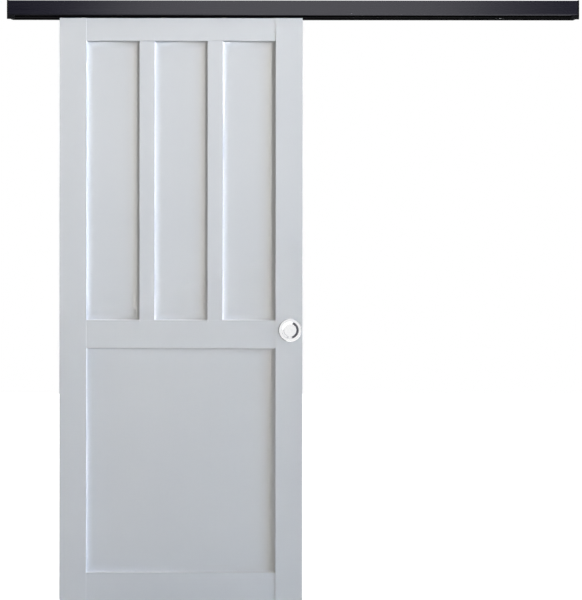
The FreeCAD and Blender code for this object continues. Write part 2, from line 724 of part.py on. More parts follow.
def make_hanger_plate(side_name, middle):
    """Hat-shaped steel plate, screwed down in a notch in the leaf's top edge."""
    end = "PlateLength / 2"
    outer = "PlateRaised / 2"
    inner = "(PlateRaised / 2 - PlateThickness)"
    flange_top = "NotchFloor + PlateThickness"
    under = "PlateTop - PlateThickness"
    corners = (
        (f"0 - {end}", "NotchFloor"),
        (f"0 - {inner}", "NotchFloor"),
        (f"0 - {inner}", under),
        (inner, under),
        (inner, "NotchFloor"),
        (end, "NotchFloor"),
        (end, flange_top),
        (outer, flange_top),
        (outer, "PlateTop"),
        (f"0 - {outer}", "PlateTop"),
        (f"0 - {outer}", flange_top),
        (f"0 - {end}", flange_top),
    )
    body = new_body()
    side_view = new_sketch(body, "XZ_Plane", "0 - MiddlePlane - PlateWidth / 2")
    draw_polygon(side_view, corners)
    pad(body, side_view, "PlateWidth")
    holes = new_sketch(body, "XY_Plane")
    draw_circle(holes, "0", "MiddlePlane", "HangerBolt + 2 * RunningFit")
    draw_circle(holes, "0 - PlateScrewSpan / 2", "MiddlePlane", "PlateScrew")
    draw_circle(holes, "PlateScrewSpan / 2", "MiddlePlane", "PlateScrew")
    pocket_through(body, holes)
    keep(f"hanger_plate_{side_name}", put(body, x=middle))


def plate_screw_places():
    return [
        f"{middle} + ({side}) * PlateScrewSpan / 2"
        for middle in ("HangerLeft", "HangerRight")
        for side in (-1, 1)
    ]


def make_plate_screws():
    screws = []
    flange_top = "NotchFloor + PlateThickness"
    for x in plate_screw_places():
        head = rod("PlateScrewHead", "PlateScrewHeadHeight", "z", x, "MiddlePlane", flange_top)
        shank = rod(
            "PlateScrew", "PlateScrewLength + PlateThickness", "z", x, "MiddlePlane",
            "NotchFloor - PlateScrewLength",
        )
        screws.append(joined([head, shank]))
    keep("plate_screws", group(screws))


# ---------------------------------------------------------------- leaf
def groove_x(x, z):
    """Room for a panel edge or a tongue, between two formulas along X and along Z."""
    return box(x, ("MiddlePlane - GrooveHalf", "MiddlePlane + GrooveHalf"), z)


def tongue(x, z):
    return box(x, ("MiddlePlane - PanelThickness / 2", "MiddlePlane + PanelThickness / 2"), z)


def leaf_block(step, x, z):
    return box(x, (f"LeafFront + {step}", f"LeafBack - {step}"), z)


def guide_groove(x):
    return box(
        x,
        ("MiddlePlane - GuideGroove / 2", "MiddlePlane + GuideGroove / 2"),
        ("LeafBottom", "LeafBottom + GuideGrooveDepth"),
    )


def rail_levels():
    """The lower and upper edge of each rail, top rail first."""
    return (
        ("TopRailBottom", "LeafTop"),
        ("LockBottom", "LockTop"),
        ("LeafBottom", "BottomRailTop"),
    )


def make_dowels(joint, low, high):
    """The two dowels across one joint between a stile and a rail."""
    middle = f"(({low}) + ({high})) / 2"
    return [
        rod(
            "DowelWidth", "DowelLength", "x", f"{joint} - DowelLength / 2", "MiddlePlane",
            f"{middle} + ({side}) * DowelSpread / 2",
        )
        for side in (-1, 1)
    ]


def make_stile(label, x, groove, joint, extra_cuts):
    block = leaf_block("0", x, ("LeafBottom", "LeafTop"))
    cuts = [groove_x(groove, ("LeafBottom", "LeafTop")), guide_groove(x)]
    for low, high in rail_levels():
        cuts += make_dowels(joint, low, high)
    keep(label, cut(block, cuts + extra_cuts))


def make_stiles():
    make_stile(
        "stile_left",
        ("LeafLeft", "OpeningLeft"),
        ("OpeningLeft - GrooveDepth", "OpeningLeft"),
        "OpeningLeft",
        [],
    )
    bore_depth = "CupBottom + CupPlay"
    pull_bores = [
        rod("2 * CupBore", bore_depth, "y", "PullCentre", "LeafFront", "PullLevel"),
        rod("2 * CupBore", bore_depth, "y", "PullCentre", f"LeafBack - ({bore_depth})", "PullLevel"),
    ]
    make_stile(
        "stile_right",
        ("OpeningRight", "LeafRight"),
        ("OpeningRight", "OpeningRight + GrooveDepth"),
        "OpeningRight",
        pull_bores,
    )


def rail_with_tongues(low, high, cuts):
    """A rail between the stiles, with a tongue at each end and dowel holes, less these cuts."""
    block = leaf_block("RailStep", ("OpeningLeft", "OpeningRight"), (low, high))
    reach = "(GrooveDepth - PanelShort)"
    bar = tongue((f"OpeningLeft - {reach}", f"OpeningRight + {reach}"), (low, high))
    holes = make_dowels("OpeningLeft", low, high) + make_dowels("OpeningRight", low, high)
    return cut(joined([block, bar]), cuts + holes)


def make_rails():
    across = ("OpeningLeft - GrooveDepth", "OpeningRight + GrooveDepth")
    half_notch = "(PlateLength / 2 + NotchEnd)"
    notches = []
    for middle in ("HangerLeft", "HangerRight"):
        notches.append(
            box(
                (f"{middle} - {half_notch}", f"{middle} + {half_notch}"),
                ("MiddlePlane - PlateWidth / 2 - NotchFront", "LeafBack"),
                ("NotchFloor", "LeafTop"),
            )
        )
    for x in plate_screw_places():
        screw_tip = "NotchFloor - PlateScrewLength"
        notches.append(rod("PlateScrew", "PlateScrewLength", "z", x, "MiddlePlane", screw_tip))
    lower_groove = groove_x(across, ("TopRailBottom", "TopRailBottom + GrooveDepth"))
    keep("top_rail", rail_with_tongues("TopRailBottom", "LeafTop", notches + [lower_groove]))
    lock_grooves = [
        groove_x(across, ("LockTop - GrooveDepth", "LockTop")),
        groove_x(across, ("LockBottom", "LockBottom + GrooveDepth")),
    ]
    keep("lock_rail", rail_with_tongues("LockBottom", "LockTop", lock_grooves))
    bottom_cuts = [
        groove_x(across, ("BottomRailTop - GrooveDepth", "BottomRailTop")),
        guide_groove(across),
    ]
    keep("bottom_rail", rail_with_tongues("LeafBottom", "BottomRailTop", bottom_cuts))


def make_mullion(label, left):
    """A post between two upper panels, tongued into the rails and grooved for the panels."""
    x = (left, f"{left} + MullionWidth")
    block = leaf_block("MullionStep", x, ("LockTop", "TopRailBottom"))
    bar = tongue(x, ("LockTop - PanelEdge", "TopRailBottom + PanelEdge"))
    ends = ("LockTop - GrooveDepth", "TopRailBottom + GrooveDepth")
    grooves = [
        groove_x((left, f"{left} + GrooveDepth"), ends),
        groove_x((f"{left} + MullionWidth - GrooveDepth", x[1]), ends),
    ]
    keep(label, cut(joined([block, bar]), grooves))


def make_panels():
    upper = ("LockTop - PanelEdge", "TopRailBottom + PanelEdge")
    bays = (
        ("OpeningLeft", "FirstMullion"),
        ("FirstMullion + MullionWidth", "SecondMullion"),
        ("SecondMullion + MullionWidth", "OpeningRight"),
    )
    for number, (left, right) in enumerate(bays, start=1):
        keep(f"upper_panel_{number}", tongue((f"{left} - PanelEdge", f"{right} + PanelEdge"), upper))
    lower = ("BottomRailTop - PanelEdge", "LockBottom + PanelEdge")
    keep("lower_panel", tongue(("OpeningLeft - PanelEdge", "OpeningRight + PanelEdge"), lower))


def make_all_dowels():
    dowels = []
    for joint in ("OpeningLeft", "OpeningRight"):
        for low, high in rail_levels():
            dowels += make_dowels(joint, low, high)
    keep("dowels", group(dowels))


def make_pull(label, face, out):
    """Round flush pull: a flange on the leaf's face around a dished finger cup; out is -1 at the front."""

    def depth(amount):
        return f"({out}) * ({amount})"

    rim = "CupWidth / 2"
    flange = "PullWidth / 2"
    corners = (
        ("0", depth("0 - CupBottom")),
        (f"{rim} + CupWall - CupSlope", depth("0 - CupBottom")),
        (f"{rim} + CupWall", "0"),
        (flange, "0"),
        (flange, depth("PullFlange - PullBevel")),
        (f"{flange} - PullBevel", depth("PullFlange")),
        (f"{rim} + PullBevel", depth("PullFlange")),
        (rim, depth("PullFlange - PullBevel")),
        (rim, "0"),
        (f"{rim} - CupSlope", depth("0 - CupDepth")),
        ("0", depth("0 - CupDepth")),
    )
    body = new_body()
    half_section = new_sketch(body, "XY_Plane")
    draw_polygon(half_section, corners)
    revolve(body, half_section)
    keep(label, put(body, "PullCentre", face, "PullLevel"))


# ---------------------------------------------------------------- the whole set
make_track()
make_fascia()
make_end_cap("end_cap_left", -1)
make_end_cap("end_cap_right", 1)
for number, middle in enumerate(bracket_middles(), start=1):
    make_wall_bracket(f"wall_bracket_{number}", middle)
make_track_bolts()
for number, middle in enumerate(clip_middles(), start=1):
    make_fascia_clip(f"fascia_clip_{number}", middle)
make_clip_screws()
keep("stop_screws", group([make_track_stop("left", -1), make_track_stop("right", 1)]))
make_floor_guide()
for side_name, middle in (("left", "HangerLeft"), ("right", "HangerRight")):
    make_trolley(f"trolley_{side_name}", middle)
    make_wheelset(f"{side_name}_a", f"{middle} - AxlePitch / 2")
    make_wheelset(f"{side_name}_b", f"{middle} + AxlePitch / 2")
    make_hanger(side_name, middle)
    make_hanger_plate(side_name, middle)
make_plate_screws()
make_stiles()
make_rails()
make_mullion("mullion_left", "FirstMullion")
make_mullion("mullion_right", "SecondMullion")
make_panels()
make_all_dowels()
make_pull("pull_front", "LeafFront", -1)
make_pull("pull_back", "LeafBack", 1)
document.recompute()

faults = [
    f"{item.Name} {item.State}"
    for item in document.Objects
    if "Invalid" in item.State or "Error" in item.State
]
faults += [
    f"{item.Label} has no valid shape"
    for item in subparts
    if item.Shape.isNull() or not item.Shape.isValid() or not item.Shape.Solids
]
if faults:
    raise SystemExit("; ".join(faults))

os.makedirs("parts", exist_ok=True)
for item in subparts:
    item.Shape.exportStep(f"parts/{item.Label}.step")
    box_of_item = item.Shape.BoundBox
    print(
        f"{item.Label:20s} {len(item.Shape.Solids):2d} solids {item.Shape.Volume:12.1f} mm3"
        f"  x {box_of_item.XMin:8.2f} {box_of_item.XMax:8.2f}"
        f"  y {box_of_item.YMin:7.2f} {box_of_item.YMax:7.2f}"
        f"  z {box_of_item.ZMin:9.2f} {box_of_item.ZMax:9.2f}"
    )
print(len(subparts), "sub-parts")
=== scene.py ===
# %% [markdown]
# # A sliding barn door on a slim track
# A track of dark aluminium hides behind a flat fascia on the wall. Two small trolleys roll in it on nylon
# wheels, and a painted wooden leaf hangs from them. The CAD part gives every place and every motion; this
# script gives each surface its finish, and remakes the pieces whose edges catch the light.

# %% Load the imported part
import json
import math

import bmesh
import bpy
from mathutils import Matrix, Vector

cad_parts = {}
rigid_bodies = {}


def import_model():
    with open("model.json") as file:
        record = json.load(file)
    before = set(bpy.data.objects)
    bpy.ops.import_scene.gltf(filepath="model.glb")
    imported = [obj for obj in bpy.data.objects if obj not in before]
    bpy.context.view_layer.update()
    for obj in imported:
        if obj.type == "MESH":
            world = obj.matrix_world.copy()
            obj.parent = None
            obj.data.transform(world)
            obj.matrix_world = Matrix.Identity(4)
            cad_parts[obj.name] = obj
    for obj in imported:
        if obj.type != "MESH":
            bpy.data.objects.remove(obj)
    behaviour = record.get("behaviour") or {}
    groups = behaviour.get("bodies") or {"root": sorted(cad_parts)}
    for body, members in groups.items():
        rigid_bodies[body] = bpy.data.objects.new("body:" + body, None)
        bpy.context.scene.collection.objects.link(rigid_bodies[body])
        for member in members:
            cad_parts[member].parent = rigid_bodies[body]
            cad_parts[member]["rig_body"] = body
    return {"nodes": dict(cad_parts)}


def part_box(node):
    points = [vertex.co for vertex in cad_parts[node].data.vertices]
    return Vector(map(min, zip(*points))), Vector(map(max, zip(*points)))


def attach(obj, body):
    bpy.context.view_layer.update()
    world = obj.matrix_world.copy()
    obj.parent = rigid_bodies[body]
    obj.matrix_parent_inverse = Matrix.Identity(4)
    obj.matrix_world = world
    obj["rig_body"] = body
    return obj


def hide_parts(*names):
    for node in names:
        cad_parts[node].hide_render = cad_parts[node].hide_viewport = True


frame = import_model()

QUARTER_TURN = math.radians(90)

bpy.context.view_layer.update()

# %% [markdown]
# The camera stands level, straight in front of the track and half-way down the leaf, like a visitor who has
# stepped back across the room. A longish lens from three metres keeps the verticals upright. The lens is worked
# out from how wide a strip of the fascia's plane should fill the picture, so the framing is one named size.

# %% Camera
bpy.context.scene.view_settings.view_transform = "Standard"
VIEW_DISTANCE = 3.00
VIEW_WIDTH = 1.9936
VIEW_CENTRE = (-0.0061, -1.0166)
VIEW_ROLL = -0.05

fascia_low, fascia_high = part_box("fascia")
lens = bpy.data.cameras.new("room_camera")
lens.sensor_fit = "HORIZONTAL"
lens.sensor_width = 36
lens.lens = lens.sensor_width * VIEW_DISTANCE / VIEW_WIDTH
camera = bpy.data.objects.new("room_camera", lens)
camera.location = (VIEW_CENTRE[0], fascia_low.y - VIEW_DISTANCE, VIEW_CENTRE[1])
camera.rotation_euler = (QUARTER_TURN, math.radians(VIEW_ROLL), 0)
bpy.context.scene.collection.objects.link(camera)
bpy.context.scene.camera = camera
print("lens", round(lens.lens, 1), "mm")

# %% [markdown]
# Nodes are easier to read when each is made in one line, so a few short helpers come first: one that adds a
# node and feeds its sockets, one that mixes two colours, and one that starts a node group with its sockets.

# %% Helpers for node trees
def add(tree, kind, inputs=None, **settings):
    """Adds a node; each input is a value or the output that feeds it."""
    node = tree.nodes.new(kind)
    for key, value in settings.items():
        setattr(node, key, value)
    for key, value in (inputs or {}).items():
        if isinstance(value, bpy.types.NodeSocket):
            tree.links.new(value, node.inputs[key])
        else:
            node.inputs[key].default_value = value
    return node


def maths(tree, operation, a, b=0.0, clamp=False):
    return add(tree, "ShaderNodeMath", {0: a, 1: b}, operation=operation, use_clamp=clamp).outputs[0]


def mixed(tree, factor, first, second):
    """A colour between first and second."""
    node = add(tree, "ShaderNodeMix", data_type="RGBA")
    for socket, value in ((node.inputs[0], factor), (node.inputs[6], first), (node.inputs[7], second)):
        if isinstance(value, bpy.types.NodeSocket):
            tree.links.new(value, socket)
        else:
            socket.default_value = value
    return node.outputs[2]


def between(tree, value, low, high, start=0.0, end=1.0):
    """Carries a value from low..high over to start..end."""
    return add(tree, "ShaderNodeMapRange", {0: value, 1: low, 2: high, 3: start, 4: end}).outputs[0]


def new_group(name, inputs, outputs):
    """Starts a node group; returns it with its input and output nodes."""
    group = bpy.data.node_groups.new(name, "ShaderNodeTree")
    for label, kind, value in inputs:
        socket = group.interface.new_socket(name=label, in_out="INPUT", socket_type=kind)
        if value is not None:
            socket.default_value = value
    for label, kind in outputs:
        group.interface.new_socket(name=label, in_out="OUTPUT", socket_type=kind)
    return group, group.nodes.new("NodeGroupInput").outputs, group.nodes.new("NodeGroupOutput").inputs


def use(tree, group, inputs):
    """Places a node group in a tree and returns its outputs."""
    node = add(tree, "ShaderNodeGroup", node_tree=group)
    for key, value in inputs.items():
        if isinstance(value, bpy.types.NodeSocket):
            tree.links.new(value, node.inputs[key])
        else:
            node.inputs[key].default_value = value
    return node.outputs


print("node helpers ready")

# %% [markdown]
# The room is white, so the world is white wherever the camera or a reflection looks at it, and softer for the
# light it gives. That light is warm, and stronger from the ceiling than from the walls, as in any room with
# ceiling lamps, so it falls on the ledges of the recesses. The floor is pale and keeps the leaf's shadow. Dark
# screens beside the camera, and a dark side of the room to the left of the front and of the back, are seen only
# by reflections. They are the dim ends in the brushed metal and the dark crescent in the dish of each pull.

# %% Room, floor and screens
ROOM_FILL = 0.065
CEILING_FILL = 1.05
FILL_COLOUR = (1, 0.955, 0.82, 1)
FLOOR_GLOW = 0.88
FLOOR_SIZE = 14
FLOOR_COLOUR = (0.62, 0.62, 0.61, 1)
SCREEN_COLOUR = (0.07, 0.065, 0.16, 1)
SIDE_COLOUR = (0.11, 0.11, 0.125, 1)


def seen_directly(tree):
    """1 where the camera, a reflection or a clear view meets the surface."""
    path = add(tree, "ShaderNodeLightPath").outputs
    seen = maths(tree, "MAXIMUM", path["Is Camera Ray"], path["Is Glossy Ray"])
    return maths(tree, "MAXIMUM", seen, path["Is Transmission Ray"])


world = bpy.data.worlds.new("white_room")
bpy.context.scene.world = world
world.use_nodes = True
tree = world.node_tree
tree.nodes.clear()
upward = add(tree, "ShaderNodeSeparateXYZ", {0: add(tree, "ShaderNodeTexCoord").outputs["Generated"]}).outputs["Z"]
ceiling = maths(tree, "POWER", maths(tree, "MAXIMUM", upward, 0.0), 2.0)
soft_light = maths(tree, "ADD", maths(tree, "MULTIPLY", ceiling, CEILING_FILL), ROOM_FILL)
fill = add(tree, "ShaderNodeBackground", {"Color": FILL_COLOUR, "Strength": soft_light})
white = add(tree, "ShaderNodeBackground", {"Color": (1, 1, 1, 1), "Strength": 1.0})
both = add(tree, "ShaderNodeMixShader", {0: seen_directly(tree), 1: fill.outputs[0], 2: white.outputs[0]})
add(tree, "ShaderNodeOutputWorld", {"Surface": both.outputs[0]})


def flat_sheet(name, width, height, matrix, material):
    """A flat sheet of the stage, placed by its matrix."""
    shape = bmesh.new()
    bmesh.ops.create_grid(shape, x_segments=1, y_segments=1, size=0.5)
    bmesh.ops.scale(shape, vec=(width, height, 1), verts=shape.verts)
    bmesh.ops.transform(shape, matrix=matrix, verts=shape.verts)
    mesh = bpy.data.meshes.new(name)
    shape.to_mesh(mesh)
    shape.free()
    sheet = bpy.data.objects.new(name, mesh)
    bpy.context.scene.collection.objects.link(sheet)
    mesh.materials.append(material)
    return sheet


floor_paint = bpy.data.materials.new("pale_floor")
floor_paint.use_nodes = True
tree = floor_paint.node_tree
tree.nodes.clear()
matt = add(tree, "ShaderNodeBsdfDiffuse", {"Color": FLOOR_COLOUR})
lift = add(tree, "ShaderNodeEmission", {"Color": (1, 1, 1, 1), "Strength": FLOOR_GLOW})
glow = add(tree, "ShaderNodeMixShader", {0: seen_directly(tree)})
tree.links.new(lift.outputs[0], glow.inputs[2])
laid = add(tree, "ShaderNodeAddShader", {0: matt.outputs[0], 1: glow.outputs[0]})
add(tree, "ShaderNodeOutputMaterial", {"Surface": laid.outputs[0]})

floor_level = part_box("floor_guide")[0].z
flat_sheet("floor", FLOOR_SIZE, FLOOR_SIZE, Matrix.Translation((0, 0, floor_level)), floor_paint)


def cloth(name, colour):
    """A dim sheet with a colour of its own, so no lamp changes it."""
    material = bpy.data.materials.new(name)
    material.use_nodes = True
    tree = material.node_tree
    tree.nodes.clear()
    dim = add(tree, "ShaderNodeEmission", {"Color": colour, "Strength": 1.0})
    add(tree, "ShaderNodeOutputMaterial", {"Surface": dim.outputs[0]})
    return material


end_cloth = cloth("dark_end", SCREEN_COLOUR)
side_cloth = cloth("dark_side", SIDE_COLOUR)
facing_leaf = Matrix.Rotation(QUARTER_TURN, 4, "X")
facing_right = Matrix.Rotation(QUARTER_TURN, 4, "Y")
room_end = camera.location.y
screens = {
    "screen_left": (5.72, 10.0, Matrix.Translation((-4.14, room_end, 1.0)) @ facing_leaf, end_cloth),
    "screen_right": (1.54, 10.0, Matrix.Translation((2.13, room_end, 1.0)) @ facing_leaf, end_cloth),
    "screen_side": (8.4, 2.9, Matrix.Translation((-2.1, -1.6, 2.0)) @ facing_right, side_cloth),
    "screen_back": (8.4, 2.9, Matrix.Translation((2.1, 1.6, 2.0)) @ facing_right, side_cloth),
    "dark_mat": (1.75, 2.9, Matrix.Translation((-1.235, -1.6, floor_level + 0.001)), side_cloth),
}
for name, (width, height, place, material) in screens.items():
    screen = flat_sheet(name, width, height, place, material)
    screen.visible_camera = False
    screen.visible_diffuse = False
    screen.visible_shadow = False
    screen.visible_transmission = False
print("floor at", round(floor_level, 4), "with", len(screens), "screens")

# %% [markdown]
# Two far lamps on the right light the leaf's front, and the room's own soft light fills the shadows. The first
# lamp is the window: it looks small from here, so it draws a crisp shadow in each recess. Its beam is aimed
# above the leaf and narrowed by a grid, so the leaf is brighter at the top than at the foot. Beside it hangs a
# wide blue sheet, like the sky next to the window. It rakes over the leaf, so it lights the side walls of the
# recesses, and its shadow is a slow gradient that leaves only the warm light of the room. A third lamp lights
# the back of the set in the same way. None of them is seen in reflections, which show the white room instead.

# %% Lamps
def area_lamp(name, place, target, size, radiance, colour, half_beam=None):
    """A square lamp at place that points at target. A grid narrows it to a cone of half_beam degrees."""
    data = bpy.data.lights.new(name, "AREA")
    data.shape = "SQUARE"
    data.size = size
    data.energy = radiance * math.pi * size * size
    data.color = colour
    if half_beam:
        data.spread = math.radians(2 * half_beam)
        data.energy *= 1 - math.radians(half_beam) / math.tan(math.radians(half_beam))
    lamp = bpy.data.objects.new(name, data)
    lamp.location = place
    lamp.rotation_euler = (Vector(target) - Vector(place)).to_track_quat("-Z", "Y").to_euler()
    lamp.visible_glossy = False
    bpy.context.scene.collection.objects.link(lamp)
    print(name, round(data.energy, 1), "W")


leaf_middle = (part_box("stile_left")[0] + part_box("stile_right")[1]) / 2
WINDOW_PLACE = Vector((17.2, -15.0, 7.2))
WINDOW_TARGET = Vector((0, 0, 1.7))
WINDOW_SIZE = 2.4
SKY_PLACE = Vector((19.1, -6.0, 3.0))
SKY_SIZE = 4.6
BACK_PLACE = Vector((-17.2, 15.0, 7.2))
area_lamp(
    "window_lamp", leaf_middle + WINDOW_PLACE, leaf_middle + WINDOW_TARGET, WINDOW_SIZE, 400, (1.0, 0.965, 0.91),
    half_beam=7.8,
)
area_lamp("sky_sheet", leaf_middle + SKY_PLACE, leaf_middle, SKY_SIZE, 52, (0.50, 0.68, 0.95))
area_lamp("back_window", leaf_middle + BACK_PLACE, leaf_middle, WINDOW_SIZE, 190, (1.0, 0.97, 0.97))

# %% [markdown]
# Several finishes share the same small effects. Each effect is a node group that is built once: streaks of
# brushing, the fine grain of a mould, slow patches of tone, rubbed edges and settled dust.

# %% Shared effect: brushing
brushing, given, gives = new_group(
    "brushing",
    [("Vector", "NodeSocketVector", None), ("Stretch", "NodeSocketVector", (3.0, 1400.0, 1400.0))],
    [("Streaks", "NodeSocketFloat")],
)
stretched = add(brushing, "ShaderNodeVectorMath", {0: given["Vector"], 1: given["Stretch"]}, operation="MULTIPLY")
fine = add(brushing, "ShaderNodeTexNoise", {"Vector": stretched.outputs[0], "Scale": 1.0, "Detail": 3.0})
brushing.links.new(between(brushing, fine.outputs["Fac"], 0.30, 0.70), gives["Streaks"])
print(brushing.name, "ready")

# %% Shared effect: mould grain
mould_grain, given, gives = new_group(
    "mould_grain",
    [("Vector", "NodeSocketVector", None), ("Scale", "NodeSocketFloat", 1500.0)],
    [("Height", "NodeSocketFloat")],
)
where = {"Vector": given["Vector"], "Scale": given["Scale"]}
pits = add(mould_grain, "ShaderNodeTexVoronoi", where, feature="SMOOTH_F1")
soft = add(mould_grain, "ShaderNodeTexNoise", {**where, "Detail": 2.0})
mould_grain.links.new(maths(mould_grain, "ADD", pits.outputs["Distance"], soft.outputs["Fac"]), gives["Height"])
print(mould_grain.name, "ready")

# %% Shared effect: patches of tone
patches, given, gives = new_group(
    "patches",
    [("Vector", "NodeSocketVector", None), ("Scale", "NodeSocketFloat", 6.0)],
    [("Patch", "NodeSocketFloat")],
)
where = {"Vector": given["Vector"], "Scale": given["Scale"]}
slow = add(patches, "ShaderNodeTexNoise", {**where, "Detail": 4.0, "Roughness": 0.6})
patches.links.new(between(patches, slow.outputs["Fac"], 0.3, 0.7), gives["Patch"])
print(patches.name, "ready")

# %% Shared effect: rubbed edges
rubbed_edges, given, gives = new_group(
    "rubbed_edges",
    [
        ("Vector", "NodeSocketVector", None), ("Radius", "NodeSocketFloat", 0.0006),
        ("Scale", "NodeSocketFloat", 60.0),
    ],
    [("Wear", "NodeSocketFloat")],
)
rounded = add(rubbed_edges, "ShaderNodeBevel", {"Radius": given["Radius"]}, samples=4).outputs[0]
flat = add(rubbed_edges, "ShaderNodeNewGeometry").outputs["Normal"]
alike = add(rubbed_edges, "ShaderNodeVectorMath", {0: rounded, 1: flat}, operation="DOT_PRODUCT").outputs["Value"]
edge = maths(rubbed_edges, "MULTIPLY", maths(rubbed_edges, "SUBTRACT", 1.0, alike), 7.0, clamp=True)
where = {"Vector": given["Vector"], "Scale": given["Scale"]}
knocks = add(rubbed_edges, "ShaderNodeTexNoise", {**where, "Detail": 5.0})
uneven = between(rubbed_edges, knocks.outputs["Fac"], 0.42, 0.62)
rubbed_edges.links.new(maths(rubbed_edges, "MULTIPLY", edge, uneven, clamp=True), gives["Wear"])
print(rubbed_edges.name, "ready")

# %% Shared effect: settled dust
settled_dust, given, gives = new_group(
    "settled_dust",
    [("Vector", "NodeSocketVector", None), ("Scale", "NodeSocketFloat", 25.0), ("Amount", "NodeSocketFloat", 0.5)],
    [("Dust", "NodeSocketFloat")],
)
normal = add(settled_dust, "ShaderNodeNewGeometry").outputs["Normal"]
facing = add(settled_dust, "ShaderNodeSeparateXYZ", {0: normal})
upward = between(settled_dust, facing.outputs["Z"], 0.55, 0.95)
where = {"Vector": given["Vector"], "Scale": given["Scale"]}
drift = add(settled_dust, "ShaderNodeTexNoise", {**where, "Detail": 6.0})
uneven = between(settled_dust, drift.outputs["Fac"], 0.35, 0.65, 0.3, 1.0)
laid = maths(settled_dust, "MULTIPLY", upward, uneven)
settled_dust.links.new(maths(settled_dust, "MULTIPLY", laid, given["Amount"], clamp=True), gives["Dust"])
print(settled_dust.name, "ready")

# %% [markdown]
# Each finish is one material with its own shader. The colour, roughness and height change over the surface by
# the shared effects, and everything that is the same all over is set on the shader itself.

# %% Helpers for finishes
FINISHES = {}
DUST = (0.55, 0.52, 0.48, 1)


def new_finish(slot, **constants):
    """Starts the material of a slot; returns its tree, shader and object coordinates."""
    material = bpy.data.materials.new("finish_" + slot)
    material.use_nodes = True
    tree = material.node_tree
    tree.nodes.clear()
    shader = add(tree, "ShaderNodeBsdfPrincipled")
    for key, value in constants.items():
        shader.inputs[key.replace("_", " ")].default_value = value
    add(tree, "ShaderNodeOutputMaterial", {"Surface": shader.outputs[0]})
    FINISHES[slot] = material
    return tree, shader, add(tree, "ShaderNodeTexCoord").outputs["Object"]


def dress(tree, shader, colour, rough, height, distance):
    """Feeds the shader its colour, its roughness and a normal from a height; distance is the relief in metres."""
    tree.links.new(colour, shader.inputs["Base Color"])
    if rough is not None:
        tree.links.new(rough, shader.inputs["Roughness"])
    bump = add(tree, "ShaderNodeBump", {"Height": height, "Distance": distance, "Strength": 1.0})
    tree.links.new(bump.outputs[0], shader.inputs["Normal"])
    print(list(FINISHES)[-1], "has", len(tree.nodes), "nodes")


print("finish helpers ready")

# %% [markdown]
# The track and its fascia are extruded aluminium, dyed dark as they are anodised. The fascia's face is
# brushed lengthwise, so its fine lines run along X and smear what it mirrors. The other sides are rougher,
# and they get a colour about seven times darker than the face: painted shade, so that every side but the
# face comes out near black. The shader mixes the two by which way a face looks.

# %% Finish: dark anodised aluminium
tree, shader, here = new_finish("dark_aluminium", Metallic=1.0)
facing = add(tree, "ShaderNodeSeparateXYZ", {0: add(tree, "ShaderNodeNewGeometry").outputs["Normal"]}).outputs
front = between(tree, facing["Y"], -0.45, -0.65)
streaks = use(tree, brushing, {"Vector": here, "Stretch": (2.5, 1500.0, 1500.0)})["Streaks"]
tone = use(tree, patches, {"Vector": here, "Scale": 2.0})["Patch"]
wear = use(tree, rubbed_edges, {"Vector": here, "Radius": 0.0005, "Scale": 40.0})["Wear"]
dust = use(tree, settled_dust, {"Vector": here, "Amount": 0.12})["Dust"]
brushed = mixed(tree, streaks, (0.077, 0.076, 0.087, 1), (0.096, 0.095, 0.106, 1))
# Painted shade: the near-black colour of every side that does not face the front.
matt = mixed(tree, tone, (0.010, 0.010, 0.012, 1), (0.014, 0.014, 0.016, 1))
colour = mixed(tree, front, matt, brushed)
colour = mixed(tree, maths(tree, "MULTIPLY", wear, 0.25), colour, (0.20, 0.20, 0.21, 1))
colour = mixed(tree, dust, colour, DUST)
rough = mixed(tree, front, (0.5, 0.5, 0.5, 1), between(tree, streaks, 0, 1, 0.23, 0.30))
rough = maths(tree, "ADD", rough, maths(tree, "MULTIPLY", tone, 0.03))
dress(tree, shader, colour, rough, streaks, 0.000004)

# %% [markdown]
# The track, and the fascia's underside and back, get a near-black finish that hardly mirrors at all. Its
# colour is painted shade, a darker copy of the dark aluminium, so the gap under the fascia renders black. The
# fascia's
# underside and back are the same, so both use one finish that hardly mirrors at all.

# %% Finish: black inside, painted shade
tree, shader, here = new_finish("painted_shade_black", Specular_IOR_Level=0.04, Roughness=0.9)
tone = use(tree, patches, {"Vector": here, "Scale": 12.0})["Patch"]
wear = use(tree, rubbed_edges, {"Vector": here, "Radius": 0.0005, "Scale": 40.0})["Wear"]
dust = use(tree, settled_dust, {"Vector": here, "Amount": 0.10})["Dust"]
# Painted shade: the near-black colour that makes the gap under the fascia render black.
colour = mixed(tree, tone, (0.004, 0.004, 0.005, 1), (0.008, 0.008, 0.009, 1))
colour = mixed(tree, maths(tree, "MULTIPLY", wear, 0.3), colour, (0.10, 0.10, 0.11, 1))
colour = mixed(tree, dust, colour, DUST)
dress(tree, shader, colour, None, tone, 0.00002)

# %% [markdown]
# End caps and clips are moulded in black plastic. The mould is etched with a fine grain that hides scratches,
# so the finish is a grain bump over near black, paler where an edge has been rubbed.

# %% Finish: black moulded plastic
tree, shader, here = new_finish("black_plastic", IOR=1.46, Specular_IOR_Level=0.12)
grain = use(tree, mould_grain, {"Vector": here, "Scale": 1400.0})["Height"]
tone = use(tree, patches, {"Vector": here, "Scale": 30.0})["Patch"]
wear = use(tree, rubbed_edges, {"Vector": here, "Radius": 0.0005, "Scale": 80.0})["Wear"]
colour = mixed(tree, tone, (0.006, 0.006, 0.007, 1), (0.010, 0.010, 0.011, 1))
colour = mixed(tree, wear, colour, (0.03, 0.03, 0.031, 1))
rough = between(tree, tone, 0, 1, 0.50, 0.60)
dress(tree, shader, colour, rough, grain, 0.00003)

# %% [markdown]
# Brackets, bolts, plates and screws are steel under a thin zinc plating: pale, slightly blue, and a little
# uneven from the bath. Faint lines from rolling and threading show through it.

